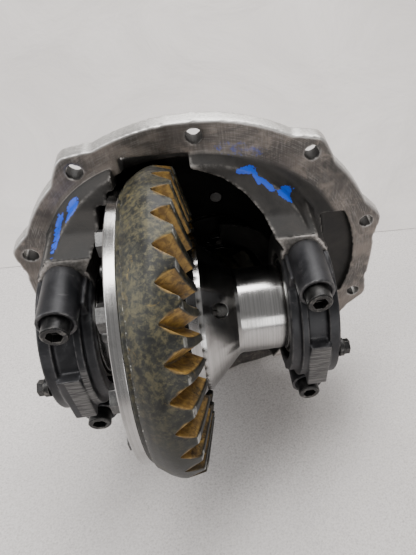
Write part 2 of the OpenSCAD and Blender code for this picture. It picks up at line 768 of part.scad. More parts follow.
module support_bolts() {
    color("dimgray") for (i = [0 : support_n - 1]) {
        a = 90 + i * 360 / support_n;
        translate([pinion_x + support_bolt_r * cos(a), 104, pinion_z + support_bolt_r * sin(a)])
            rotate([-90, 0, 0]) hex_bolt(5.0, 34, 14.3, 7);
    }
}

module support_shim() {
    color("silver") difference() {
        along_y(pinion_x, pinion_z, support_face_y + 0.05, support_face_y + 0.35, support_body_r);
        along_y(pinion_x, pinion_z, support_face_y - 1, support_face_y + 1, support_pilot_r + 0.3);
    }
}

module support_oring() {
    color("black") turned_on_pinion([
        [support_pilot_r - 2.3, 72.6], [support_pilot_r + 0.05, 72.6], [support_pilot_r + 0.05, 75.4],
        [support_pilot_r - 2.3, 75.4]
    ]);
}

module pinion_seal() {
    color("dimgray") turned_on_pinion([
        [24.4, 137], [33.9, 137], [33.9, 146.5], [37.5, 146.5], [37.5, 148], [26, 148], [24.4, 143]
    ]);
}

module yoke() {
    color("gray") difference() {
        union() {
            turned_on_pinion([
                [10, outer_face_y + 0.1], [24, outer_face_y + 0.1], [24, 149], [30, 152], [40, 158],
                [40, 168], [10, 168]
            ]);
            intersection() {
                for (s = [-1, 1])
                    translate([pinion_x + s * (yoke_half_span - 8) - 8, 154, pinion_z - 23])
                        cube([16, yoke_axis_y - 154, 46]);
                along_y(pinion_x, pinion_z, 150, 230, 50);
            }
            intersection() {
                box_between([pinion_x - yoke_half_span, 154, pinion_z - 23],
                            [pinion_x + yoke_half_span, 168, pinion_z + 23]);
                along_y(pinion_x, pinion_z, 150, 230, 50);
            }
        }
        along_y(pinion_x, pinion_z, 100, 170, pinion_shaft_r);
        along_y(pinion_x, pinion_z, 166, 230, 21);
        // saddles for the joint's bearing cups, and the strap bolts' holes
        translate([pinion_x - 60, yoke_axis_y, pinion_z]) rotate([0, 90, 0]) cylinder(h = 120, r = yoke_saddle_r);
        for (x = [-1, 1], z = [-1, 1])
            along_y(pinion_x + x * 38, pinion_z + z * 19, yoke_axis_y - 22, yoke_axis_y + 1, 2.8);
    }
}

module yoke_washer() {
    color("silver") difference() {
        along_y(pinion_x, pinion_z, 166.1, 168.6, 18);
        along_y(pinion_x, pinion_z, 160, 175, 11.3);
    }
}

module pinion_nut() {
    color("gray") difference() {
        translate([pinion_x, 168.7, pinion_z]) rotate([-90, 0, 0]) cylinder(h = 11, r = 18, $fn = 6);
        along_y(pinion_x, pinion_z, 160, 190, 11.05);
    }
}

// ---------- bevel gears of the differential, axis +Z, apex at the origin ----------

function cone_angle(n, mate) = atan2(n, mate);
function involute(a) = tan(a) * 180 / PI - a;
pressure = 22.5;
bevel_levels = [-1.22, -0.6, 0, 0.5, 0.86];
bevel_face = 12;
bevel_gap = 1.1;

// Half of a tooth's angle at height h above the pitch cone, from the involute of its back cone.
function bevel_half(n, mate, h) =
    let (d = cone_angle(n, mate), rv = bevel_m * n / 2 / cos(d), base = rv * cos(pressure),
         a = acos(min(1, base / max(rv + h, base))))
        90 / n + (involute(pressure) - involute(a)) / cos(d) - bevel_gap;

module bevel_teeth(n, mate, shift) {
    d = cone_angle(n, mate);
    reach = bevel_m * norm([n, mate]) / 2;
    count = len(bevel_levels);
    inner = (reach - bevel_face) / reach;
    loop = [
        for (k = [0 : n - 1], j = [0 : 2 * count - 1])
            let (h = bevel_levels[j < count ? j : 2 * count - 1 - j] * bevel_m,
                 a = (k + shift) * 360 / n + (j < count ? -1 : 1) * bevel_half(n, mate, h),
                 r = reach * sin(d) + h * cos(d), z = reach * cos(d) - h * sin(d))
                [r * cos(a), r * sin(a), z]
    ];
    total = len(loop);
    points = concat(loop, [for (p = loop) p * inner],
                    [[0, 0, reach * cos(d) + 3.3], [0, 0, (reach * cos(d) - 1) * inner]]);
    faces = concat(
        [for (j = [0 : total - 1])
            let (b = (j + 1) % total) for (t = [[j, b, b + total], [j, b + total, j + total]]) t],
        [for (j = [0 : total - 1]) [2 * total, (j + 1) % total, j]],
        [for (j = [0 : total - 1]) [2 * total + 1, total + j, total + (j + 1) % total]]
    );
    polyhedron(points = points, faces = faces, convexity = 10);
}

side_back = thrust_x - 1;
spline_n = 24;

module side_gear(side) {
    color("silver") translate([diff_x, axle_y, 0]) rotate([0, side == 0 ? -90 : 90, 0]) difference() {
        union() {
            bevel_teeth(side_n, spider_n, 0.5);
            translate([0, 0, 17]) cylinder(h = 8, r = 20.5);
            translate([0, 0, 20.3]) cylinder(h = 5, r = 25.4);
            translate([0, 0, 24.7]) cylinder(h = side_back - 24.7, r = 27);
        }
        translate([0, 0, -1]) linear_extrude(60) polygon([
            for (i = [0 : 4 * spline_n - 1])
                let (r = i % 4 < 2 ? axle_bore_r : axle_bore_r + 1.3, a = (i - 0.5) * 90 / spline_n)
                    [r * cos(a), r * sin(a)]
        ]);
    }
}

module side_washer(side) {
    s = side == 0 ? -1 : 1;
    x = diff_x + s * (thrust_x - 0.5);
    color("silver") difference() {
        on_axle(x - 0.4, x + 0.4, 27);
        on_axle(x - 2, x + 2, 19);
    }
}

module spider_gear(up) {
    color("silver") translate([diff_x, axle_y, 0]) rotate([up > 0 ? 0 : 180, 0, 0]) difference() {
        union() {
            bevel_teeth(spider_n, side_n, 0);
            translate([0, 0, 20.4]) cylinder(h = 12, r = 11.3);
            rotate_extrude() polygon([
                [0, 28], [13.8, 28], [16.3, 32.2], [16.3, 40.9], [14, 41.8], [cross_r + 0.6, 43], [0, 43]
            ]);
        }
        translate([0, 0, -1]) cylinder(h = 60, r = cross_r + 0.06);
    }
}

module spider_washer(up) {
    color("silver") translate([diff_x, axle_y, 0]) rotate([up > 0 ? 0 : 180, 0, 0]) difference() {
        intersection() {
            sphere(cavity_r - 0.1);
            translate([0, 0, 20]) cylinder(h = 30, r = 18.5);
        }
        sphere(cavity_r - 0.8);
        cylinder(h = 60, r = cross_r + 0.3);
    }
}

// ---------- nodes ----------

carrier_housing();
bearing_cap(0);  // bearing_cap_left
bearing_cap(1);  // bearing_cap_right
cap_screws();
adjuster(0);  // adjuster_left
adjuster(1);  // adjuster_right
adjuster_lock(0);  // adjuster_lock_left
adjuster_lock(1);  // adjuster_lock_right
lock_screws();
side_cup(0);  // side_cup_left
side_cup(1);  // side_cup_right
side_cone(0);  // side_cone_left
side_cone(1);  // side_cone_right
side_cage(0);  // side_cage_left
side_cage(1);  // side_cage_right
side_rollers(0);  // side_rollers_left
side_rollers(1);  // side_rollers_right
diff_case();
case_cover();
cover_screws();
ring_gear();
ring_gear_bolts();
cross_shaft();
cross_shaft_pin();
side_gear(0);  // side_gear_left
side_gear(1);  // side_gear_right
side_washer(0);  // side_washer_left
side_washer(1);  // side_washer_right
spider_gear(1);  // spider_gear_top
spider_gear(-1);  // spider_gear_bottom
spider_washer(1);  // spider_washer_top
spider_washer(-1);  // spider_washer_bottom
pinion_gear();
pinion_cone_inner();
pinion_cone_outer();
pinion_cup_inner();
pinion_cup_outer();
pinion_cage_inner();
pinion_cage_outer();
pinion_rollers_inner();
pinion_rollers_outer();
pinion_spacer();
pilot_bearing_cup();
pilot_rollers();
pilot_retainer();
pinion_support();
support_bolts();
support_shim();
support_oring();
pinion_seal();
yoke();
yoke_washer();
pinion_nut();
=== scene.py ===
import math

import bpy
import numpy as np
from mathutils import Matrix, Vector


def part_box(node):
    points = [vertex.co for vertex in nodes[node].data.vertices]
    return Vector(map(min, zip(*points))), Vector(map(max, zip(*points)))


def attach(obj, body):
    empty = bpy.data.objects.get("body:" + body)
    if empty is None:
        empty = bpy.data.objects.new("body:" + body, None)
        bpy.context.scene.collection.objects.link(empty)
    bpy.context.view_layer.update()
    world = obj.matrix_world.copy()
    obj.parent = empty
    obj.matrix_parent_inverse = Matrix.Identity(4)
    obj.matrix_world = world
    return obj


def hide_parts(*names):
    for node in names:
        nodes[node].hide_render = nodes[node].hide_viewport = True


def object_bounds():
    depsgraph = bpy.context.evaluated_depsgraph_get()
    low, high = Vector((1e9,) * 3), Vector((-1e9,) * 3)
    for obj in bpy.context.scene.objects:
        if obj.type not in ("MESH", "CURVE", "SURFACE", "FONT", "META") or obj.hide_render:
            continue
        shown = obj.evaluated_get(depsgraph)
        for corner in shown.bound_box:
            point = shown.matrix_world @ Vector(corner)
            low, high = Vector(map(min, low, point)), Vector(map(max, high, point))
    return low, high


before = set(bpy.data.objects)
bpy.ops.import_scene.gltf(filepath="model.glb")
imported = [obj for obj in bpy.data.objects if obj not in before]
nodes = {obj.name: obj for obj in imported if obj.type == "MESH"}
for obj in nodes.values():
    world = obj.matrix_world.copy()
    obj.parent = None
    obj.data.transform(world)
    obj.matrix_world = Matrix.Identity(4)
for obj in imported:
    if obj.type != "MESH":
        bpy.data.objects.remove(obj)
cad_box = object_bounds()

# ---------- places read from the frame ----------
ring_low, ring_high = (Vector(v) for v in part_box("ring_gear"))
AXLE_Y = (ring_low.y + ring_high.y) / 2
RING_R = (ring_high.z - ring_low.z) / 2
FACE_Y = 0.0
FLANGE_T = 0.0127
FLANGE_R = 0.1385
cap_low, cap_high = (Vector(v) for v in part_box("bearing_cap_right"))
low_cap_low, low_cap_high = (Vector(v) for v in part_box("bearing_cap_left"))
CAP_X = [(low_cap_low.x + low_cap_high.x) / 2, (cap_low.x + cap_high.x) / 2]
FLOOR_Z = Vector(cad_box[0]).z - 0.0004


# ---------- a small kit for procedural materials ----------
class Look:
    """A material and short names for the nodes that its masks and colours are made of."""

    def __init__(self, name):
        self.mat = bpy.data.materials.new(name)
        self.mat.use_nodes = True
        self.tree = self.mat.node_tree
        self.shader = self.tree.nodes["Principled BSDF"]
        coords = self.tree.nodes.new("ShaderNodeTexCoord")
        self.place = coords.outputs["Object"]
        self.flat = coords.outputs["Normal"]
        self.x, self.y, self.z = self.split(self.place)
        self.nx, self.ny, self.nz = self.split(self.flat)

    def put(self, kind, inputs=(), **settings):
        n = self.tree.nodes.new(kind)
        for k, v in settings.items():
            setattr(n, k, v)
        for k, v in dict(inputs).items():
            self.feed(n.inputs[k], v)
        return n

    def feed(self, socket, value):
        if isinstance(value, bpy.types.NodeSocket):
            self.tree.links.new(value, socket)
        elif socket.type == "RGBA":
            socket.default_value = (*value, 1.0)[:4]
        else:
            socket.default_value = value

    def split(self, vector):
        n = self.put("ShaderNodeSeparateXYZ", {0: vector})
        return n.outputs[0], n.outputs[1], n.outputs[2]

    def join(self, x, y, z):
        return self.put("ShaderNodeCombineXYZ", {0: x, 1: y, 2: z}).outputs[0]

    def math(self, op, a, b=0.0, c=0.0, clamp=False):
        return self.put("ShaderNodeMath", {0: a, 1: b, 2: c}, operation=op, use_clamp=clamp).outputs[0]

    def add(self, a, b): return self.math("ADD", a, b)
    def sub(self, a, b): return self.math("SUBTRACT", a, b)
    def mul(self, a, b): return self.math("MULTIPLY", a, b)
    def high(self, a, b): return self.math("MAXIMUM", a, b)
    def low(self, a, b): return self.math("MINIMUM", a, b)
    def inv(self, a): return self.math("SUBTRACT", 1.0, a, clamp=True)

    def ramp(self, v, a, b, lo=0.0, hi=1.0):
        """lo below a and hi above b, with a smooth step between (b may be below a)."""
        if b < a:
            a, b, lo, hi = b, a, hi, lo
        return self.put("ShaderNodeMapRange", {"Value": v, "From Min": a, "From Max": b, "To Min": lo, "To Max": hi},
                        interpolation_type="SMOOTHSTEP").outputs[0]

    def band(self, v, a, b, soft):
        """1 while v is between a and b."""
        return self.mul(self.ramp(v, a - soft, a + soft), self.ramp(v, b + soft, b - soft))

    def noise(self, scale, detail=4.0, rough=0.6, at=None, stretch=None, warp=0.0, kind="FBM"):
        at = at or self.place
        if stretch:
            at = self.put("ShaderNodeVectorMath", {0: at, 1: stretch}, operation="MULTIPLY").outputs[0]
        n = self.put("ShaderNodeTexNoise", {"Vector": at, "Scale": scale, "Detail": detail, "Roughness": rough,
                                            "Distortion": warp})
        return n.outputs[0]

    def cells(self, scale, at=None, feature="F1"):
        n = self.put("ShaderNodeTexVoronoi", {"Vector": at or self.place, "Scale": scale}, feature=feature)
        return n.outputs["Distance"]

    def mix(self, fac, a, b):
        n = self.put("ShaderNodeMix", data_type="RGBA")
        self.feed(n.inputs[0], fac)
        self.feed(n.inputs[6], a)
        self.feed(n.inputs[7], b)
        return n.outputs[2]

    def blend(self, fac, a, b):
        n = self.put("ShaderNodeMix", data_type="FLOAT")
        self.feed(n.inputs[0], fac)
        self.feed(n.inputs[2], a)
        self.feed(n.inputs[3], b)
        return n.outputs[0]

    def attribute(self, name):
        return self.put("ShaderNodeAttribute", attribute_name=name).outputs["Fac"]

    def edges(self, radius):
        """How sharply the surface turns within this radius: near 0 on a flat, near 1 on an edge."""
        b = self.put("ShaderNodeBevel", {"Radius": radius}, samples=6)
        g = self.put("ShaderNodeNewGeometry")
        dot = self.put("ShaderNodeVectorMath", {0: b.outputs[0], 1: g.outputs["Normal"]}, operation="DOT_PRODUCT")
        return self.ramp(dot.outputs["Value"], 0.995, 0.86), b.outputs[0]

    def ridges(self, lo=0.505, hi=0.54):
        """1 on convex ridges of a fine mesh."""
        return self.ramp(self.put("ShaderNodeNewGeometry").outputs["Pointiness"], lo, hi)

    def finish(self, colour, rough, metal=1.0, height=None, strength=0.3, distance=0.0003, normal=None,
               coat=None, specular=0.5, aniso=None):
        s = self.shader
        self.feed(s.inputs["Base Color"], colour)
        self.feed(s.inputs["Roughness"], rough)
        self.feed(s.inputs["Metallic"], metal)
        self.feed(s.inputs["Specular IOR Level"], specular)
        if coat is not None:
            self.feed(s.inputs["Coat Weight"], coat)
            self.feed(s.inputs["Coat Roughness"], 0.25)
        if height is not None:
            b = self.put("ShaderNodeBump", {"Height": height, "Strength": strength, "Distance": distance})
            if normal is not None:
                self.feed(b.inputs["Normal"], normal)
            normal = b.outputs[0]
        if normal is not None:
            self.feed(s.inputs["Normal"], normal)
        return self.mat


def paint(mat, *names):
    """Gives CAD nodes a new material."""
    for name in names:
        data = nodes[name].data
        if not data.materials:
            data.materials.append(mat)
        for i in range(len(data.materials)):
            data.materials[i] = mat


def grey(v, warm=0.0):
    return (v * (1 + warm), v, v * (1 - warm))


# ---------- castings ----------
def cast_grain(m, coarse=1.0):
    """Height of a sand-cast skin: small pits over soft lumps."""
    fine = m.noise(900 / coarse, 5, 0.7)
    lumps = m.noise(140 / coarse, 3, 0.5)
    pits = m.ramp(m.cells(650 / coarse), 0.05, 0.35)
    return m.add(m.mul(fine, 0.55), m.add(m.mul(lumps, 0.7), m.mul(pits, 0.35)))


def iron_look():
    m = Look("cast_iron_skin")
    radius = m.math("SQRT", m.add(m.mul(m.x, m.x), m.mul(m.z, m.z)))
    skin = cast_grain(m)
    grime = m.noise(28, 5, 0.65, warp=0.4)
    ridge = m.ridges(0.508, 0.56)

    # rough casting, with painted shade making the inside of the bowl almost black
    from_case = m.sub(m.x, sum(CAP_X) / 2)
    mouth = m.math("SQRT", m.add(m.mul(from_case, from_case), m.mul(m.z, m.z)))
    bowl_shade = m.mul(m.ramp(m.y, -0.015, 0.03), m.ramp(mouth, 0.106, 0.096))
    rough_colour = m.mix(m.ramp(grime, 0.35, 0.7), (0.016, 0.0155, 0.015), (0.050, 0.046, 0.043))
    # painted shade: the inside of the bowl is mixed towards near black
    rough_colour = m.mix(m.mul(bowl_shade, 0.92), rough_colour, (0.0045, 0.0043, 0.0042))
    wear = m.mul(ridge, m.ramp(m.noise(160, 4, 0.7), 0.38, 0.6))
    wear = m.mul(wear, m.inv(bowl_shade))
    rough_colour = m.mix(m.mul(wear, 0.75), rough_colour, (0.36, 0.34, 0.32))

    # the machined face, with swirls from the facing cutter, stains and a pale film
    facing = m.mul(m.band(m.y, -0.0009, 0.0004, 0.0002), m.ramp(m.ny, -0.55, -0.9))
    face = m.mul(facing, m.ramp(radius, 0.112, 0.118))
    swirl_a = m.noise(1500, 3, 0.6, at=m.join(radius, m.mul(m.math("ARCTAN2", m.z, m.x), 0.006), 0.0))
    swirl_b = m.noise(900, 3, 0.6, stretch=(1.0, 1.0, 0.08))
    brush = m.add(m.mul(swirl_a, 0.6), m.mul(swirl_b, 0.4))
    stain = m.noise(17, 6, 0.62, warp=0.9)
    dust = m.noise(60, 6, 0.75, warp=0.5)
    face_colour = m.mix(m.ramp(stain, 0.40, 0.66), (0.085, 0.080, 0.077), (0.235, 0.205, 0.183))
    face_colour = m.mix(m.mul(m.ramp(dust, 0.50, 0.70), 0.6), face_colour, (0.36, 0.31, 0.27))
    face_colour = m.mix(m.mul(m.ramp(brush, 0.46, 0.64), 0.38), face_colour, (0.36, 0.345, 0.33))
    face_colour = m.mix(m.mul(m.ramp(m.noise(11, 4, 0.6, warp=0.4), 0.52, 0.36), 0.6), face_colour, (0.045, 0.043, 0.042))

    # the turned rim and the light machined crescents at the caps' parting plane
    rim = m.mul(m.mul(m.ramp(radius, 0.1365, 0.1375), m.band(m.y, -0.0005, 0.0132, 0.0004)), m.inv(face))
    streak = m.noise(500, 3, 0.6, stretch=(1.0, 6.0, 1.0))
    rim_colour = m.mix(m.ramp(streak, 0.35, 0.65), (0.40, 0.39, 0.375), (0.68, 0.665, 0.645))
    part = m.mul(m.ramp(m.y, AXLE_Y + 0.0007, AXLE_Y + 0.0001), m.ramp(m.ny, -0.4, -0.85))
    part_colour = m.mix(m.ramp(m.noise(420, 4, 0.7), 0.3, 0.7), (0.30, 0.28, 0.26), (0.62, 0.59, 0.56))
    edge = m.mul(m.mul(ridge, m.ramp(radius, 0.126, 0.134)), m.ramp(m.y, 0.016, 0.012))

    # smears of blue marking paint on both arms
    def dab(x, z, long, wide, lean):
        dx, dz = m.sub(m.x, x), m.sub(m.z, z)
        c, s = math.cos(lean), math.sin(lean)
        u = m.add(m.mul(dx, c), m.mul(dz, s))
        v = m.sub(m.mul(dz, c), m.mul(dx, s))
        r2 = m.add(m.math("POWER", m.math("DIVIDE", m.math("ABSOLUTE", u), long), 2.0),
                   m.math("POWER", m.math("DIVIDE", m.math("ABSOLUTE", v), wide), 2.0))
        return m.ramp(m.add(r2, m.mul(m.sub(m.noise(330, 2, 0.5, warp=0.5), 0.5), 3.0)), 1.10, 0.80)
    front = m.ramp(m.y, 0.004, -0.002)
    blue = m.high(dab(0.0315, 0.1035, 0.0075, 0.0021, -0.15), dab(0.0455, 0.0935, 0.0070, 0.0019, -0.75))
    blue = m.high(blue, m.high(dab(0.0585, 0.0855, 0.0075, 0.0018, -0.50), dab(0.0385, 0.0985, 0.0050, 0.0017, -1.1)))
    blue = m.high(blue, m.high(dab(-0.0965, 0.0760, 0.0060, 0.0016, 1.0), dab(-0.0850, 0.0880, 0.0070, 0.0015, 0.75)))
    haze = m.mul(m.mul(dab(0.030, 0.116, 0.016, 0.0050, -0.2), front), 0.45)
    blue = m.high(m.mul(blue, front), m.mul(haze, m.ramp(m.noise(180, 4, 0.7), 0.45, 0.65)))

    colour = m.mix(face, rough_colour, face_colour)
    colour = m.mix(rim, colour, rim_colour)
    colour = m.mix(part, colour, part_colour)
    colour = m.mix(m.mul(edge, 0.7), colour, (0.72, 0.70, 0.68))
    colour = m.mix(blue, colour, (0.004, 0.075, 0.62))
    shiny = m.high(m.high(face, rim), m.high(part, edge))
    rough = m.blend(shiny, m.blend(m.ramp(grime, 0.3, 0.7), 0.50, 0.72), m.blend(m.ramp(stain, 0.3, 0.7), 0.30, 0.52))
    rough = m.blend(blue, rough, 0.42)
    metal = m.blend(shiny, 0.35, 0.85)
    metal = m.mul(metal, m.inv(blue))
    height = m.blend(shiny, skin, m.mul(brush, 0.25))
    return m.finish(colour, rough, metal, height, 0.42, 0.0006)


def cap_look():
    """Bearing caps: smooth dark castings with worn corners and one milled pad."""
    m = Look("cap_iron_skin")
    ridge = m.ridges(0.508, 0.55)
    grime = m.noise(45, 5, 0.65, warp=0.4)
    dark = m.mix(m.ramp(grime, 0.36, 0.68), (0.014, 0.0145, 0.017), (0.040, 0.040, 0.044))
    worn = m.mul(ridge, m.ramp(m.noise(190, 4, 0.7), 0.36, 0.62))
    scuff = m.mul(m.ramp(m.noise(75, 6, 0.75, warp=0.7), 0.56, 0.72), 0.35)
    colour = m.mix(m.high(m.mul(worn, 0.75), scuff), dark, (0.185, 0.18, 0.18))
    front = m.ramp(m.y, AXLE_Y - 0.050, AXLE_Y - 0.052)
    pads = 0.0
    for x in CAP_X:
        pads = m.add(pads, m.band(m.x, x - 0.0052, x + 0.0098, 0.0003))
    pad = m.mul(m.mul(front, pads), m.ramp(m.ny, -0.6, -0.9))
    lines = m.noise(2600, 2, 0.5, stretch=(0.03, 0.03, 1.0))
    colour = m.mix(pad, colour, m.mix(m.ramp(lines, 0.4, 0.6), (0.045, 0.045, 0.047), (0.15, 0.148, 0.146)))
    height = m.blend(pad, cast_grain(m, 0.8), m.mul(lines, 0.5))
    rough = m.blend(pad, m.blend(m.ramp(grime, 0.3, 0.7), 0.36, 0.52), 0.34)
    return m.finish(colour, rough, m.blend(m.high(pad, worn), 0.45, 0.85), height, 0.22, 0.0004)


def soften(name, voxel, rounds, keep_plane=None):
    """A copy of a CAD casting with the small radii that a mould leaves on every corner."""
    source = nodes[name]
    obj = source.copy()
    obj.data = source.data.copy()
    obj.parent = None
    obj.matrix_world = Matrix.Identity(4)
    obj.name = name + "_cast"
    bpy.context.scene.collection.objects.link(obj)
    grid = obj.modifiers.new("grid", "REMESH")
    grid.mode, grid.voxel_size, grid.use_smooth_shade = "VOXEL", voxel, True
    soft = obj.modifiers.new("soft", "SMOOTH")
    soft.factor, soft.iterations = 0.5, rounds
    graph = bpy.context.evaluated_depsgraph_get()
    mesh = bpy.data.meshes.new_from_object(obj.evaluated_get(graph))
    obj.modifiers.clear()
    obj.data = mesh
    mesh.materials.clear()
    for p in mesh.polygons:
        p.use_smooth = True
    return obj


for name, voxel, rounds, look, slot in [("carrier_housing", 0.0014, 4, iron_look(), "cast_iron"),
                                        ("bearing_cap_left", 0.0008, 5, None, "cap_iron"),
                                        ("bearing_cap_right", 0.0008, 5, None, "cap_iron")]:
    piece = soften(name, voxel, rounds)
    if look is None:
        look = bpy.data.materials.get("cap_iron_skin") or cap_look()
    piece.data.materials.append(look)
    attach(piece, "carrier")
    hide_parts(name)


# ---------- ring gear ----------
def ring_mesh():
    """The gear turned as one grid of columns, with round tooth roots and narrow edges to the lands."""
    teeth, steps = 32, 44
    back, bore, toe, heel = -52.0, 70.0, 78.0, 112.0

    def spiral(r):
        return math.radians(3.6) + 0.716 * math.log(r / 96) - 0.0093 * (r - 96)

    def tip(r): return -17.5 + 8.5 * (heel - r) / (heel - toe)
    def root(r): return -29.6 + 11.1 * (heel - r) / (heel - toe)

    phase = np.arange(720) / 2.0
    away = np.minimum(phase, 360 - phase)
    rise = np.clip((169 - away) / (169 - 47.0), 0, 1)
    for width in (13, 13, 9):
        kernel = np.ones(width) / width
        rise = np.convolve(np.concatenate([rise[-40:], rise, rise[:40]]), kernel, "same")[40:-40]
    wanted = np.arange(steps) * 360.0 / steps
    rises = np.interp(wanted, phase, rise)

    rim = [(bore, back), (85.0, back), (101.0, back), (101.5, back + 0.4), (101.5, -49.4), (101.9, -49.0),
           (104.4, -49.0), (105.2, -48.8), (107.8, -45.0), (110.3, -41.5), (110.9, -40.6), (112.3, -37.6),
           (113.3, -35.3), (113.6, -34.3), (114.1, -32.0)]
    radii = [111.2, 109.8, 107.5, 105, 101.5, 98, 94.5, 91, 87.5, 84.5, 81.5, 79.5, 78.3]
    verts, flank, land, face = [], [], [], []
    for i in range(teeth):
        for k in range(steps):
            base = (i + wanted[k] / 360) * 2 * math.pi / teeth
            up = rises[k]
            column = [(r, x, 0.0) for r, x in rim]
            edge_r, edge_x = 114.25 - 2.25 * up, root(heel) + (tip(heel) - root(heel)) * up
            column += [(114.28, -30.7, 0.0), (0.5 * (114.25 + edge_r) + 0.05, 0.5 * (-30.6 + edge_x) - 0.1, 0.1),
                       (edge_r + 0.12, edge_x - 0.75 * up, 0.5), (edge_r - 0.25, edge_x - 0.08, 1.0)]
            column += [(r, root(r) + (tip(r) - root(r)) * up, 1.0) for r in radii]
            column += [(77.4, root(toe) + (tip(toe) - root(toe)) * up * 0.9 - 0.2, 0.7),
                       (75.7, root(toe) - 0.4, 0.0), (72.5, -20.4, 0.0), (bore, -21.5, 0.0)]
            for r, x, on_face in column:
                a = base + spiral(max(min(r, heel), toe))
                verts.append((x / 1000, AXLE_Y + r * math.cos(a) / 1000, r * math.sin(a) / 1000))
                flank.append(on_face * min(1.0, 4.2 * up * (1 - up) + (0.35 if up < 0.5 else 0.0)))
                land.append(on_face * max(0.0, (up - 0.9) * 10))
                face.append(on_face)
    wide = len(column)
    rows = teeth * steps
    faces = []
    for i in range(rows):
        for j in range(wide):
            faces.append((i * wide + j, ((i + 1) % rows) * wide + j,
                          ((i + 1) % rows) * wide + (j + 1) % wide, i * wide + (j + 1) % wide))
    mesh = bpy.data.meshes.new("ring_gear_cut")
    mesh.from_pydata(verts, [], faces)
    for name, values in (("flank", flank), ("land", land), ("face", face)):
        mesh.attributes.new(name, "FLOAT", "POINT").data.foreach_set("value", values)
    for p in mesh.polygons:
        p.use_smooth = True
    mesh.update()
    return mesh


def ring_look():
    """Dark phosphate with a wiped film of ochre marking compound, thick in the tooth spaces."""
    m = Look("gear_phosphate_skin")
    flank, land, face = m.attribute("flank"), m.attribute("land"), m.attribute("face")
    radius = m.math("SQRT", m.add(m.math("POWER", m.sub(m.y, AXLE_Y), 2.0), m.mul(m.z, m.z)))
    cloud = m.noise(34, 6, 0.68, warp=0.6)
    speck = m.noise(260, 5, 0.72, warp=0.3)
    fine = m.noise(1300, 4, 0.7)
    base = m.mix(m.ramp(cloud, 0.36, 0.66), (0.011, 0.0115, 0.011), (0.030, 0.0305, 0.027))
    base = m.mix(m.mul(m.ramp(speck, 0.55, 0.72), 0.4), base, (0.060, 0.060, 0.052))
    # the film is heavier on the upper half of the rim and almost gone below
    upper = m.ramp(m.z, -0.010, 0.095)
    film = m.mul(m.ramp(m.add(m.mul(cloud, 0.5), m.mul(speck, 0.5)), 0.44, 0.60), m.blend(upper, 0.03, 0.62))
    film_colour = m.mix(m.ramp(speck, 0.4, 0.62), (0.060, 0.057, 0.036), (0.135, 0.115, 0.052))
    colour = m.mix(film, base, film_colour)
    daub = m.mul(m.ramp(m.noise(75, 5, 0.7, warp=1.0), 0.60, 0.68), m.blend(upper, 0.10, 0.6))
    colour = m.mix(daub, colour, (0.24, 0.165, 0.045))
    # compound in the tooth spaces, wiped through in places
    patchy = m.mul(m.ramp(m.z, 0.05, -0.05), 0.12)
    cover = m.ramp(m.sub(m.add(m.mul(m.noise(95, 5, 0.7, warp=0.8), 0.7), m.mul(speck, 0.3)), patchy), 0.37, 0.48)
    ochre = m.mix(m.ramp(m.noise(210, 4, 0.6, warp=0.5), 0.35, 0.7), (0.16, 0.088, 0.020), (0.40, 0.245, 0.055))
    in_tooth = m.mul(m.ramp(flank, 0.15, 0.55), m.blend(m.ramp(m.z, -0.09, 0.02), 0.35, 1.0))
    in_tooth = m.mul(in_tooth, m.blend(cover, 0.25, 1.0))
    colour = m.mix(in_tooth, colour, ochre)
    # bare steel on the tooth ends and chips along the back edge
    tooth_end = m.mul(m.ramp(land, 0.4, 0.9), m.band(radius, 0.1070, 0.1140, 0.0008))
    tooth_end = m.mul(tooth_end, m.ramp(m.noise(150, 4, 0.7), 0.40, 0.54))
    chips = m.mul(m.mul(m.band(m.x, -0.0497, -0.0480, 0.0003), m.ramp(m.noise(330, 4, 0.75), 0.56, 0.64)), 1.0)
    bare = m.high(m.mul(tooth_end, 0.75), chips)
    edge = m.mul(m.ridges(0.52, 0.60), m.ramp(m.noise(240, 4, 0.7), 0.42, 0.6))
    bare = m.high(bare, m.mul(edge, 0.45))
    colour = m.mix(bare, colour, (0.50, 0.50, 0.47))
    rough = m.blend(m.ramp(cloud, 0.3, 0.7), 0.40, 0.56)
    rough = m.blend(in_tooth, rough, 0.50)
    rough = m.blend(bare, rough, 0.28)
    metal = m.blend(m.high(in_tooth, film), 0.42, 0.0)
    metal = m.blend(bare, metal, 0.9)
    height = m.add(m.mul(fine, 0.5), m.add(m.mul(in_tooth, m.mul(speck, 0.9)), m.mul(film, 0.35)))
    return m.finish(colour, rough, metal, height, 0.30, 0.0004)


ring = bpy.data.objects.new("ring_gear_teeth", ring_mesh())
bpy.context.scene.collection.objects.link(ring)
ring.data.materials.append(ring_look())
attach(ring, "case")
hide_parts("ring_gear")


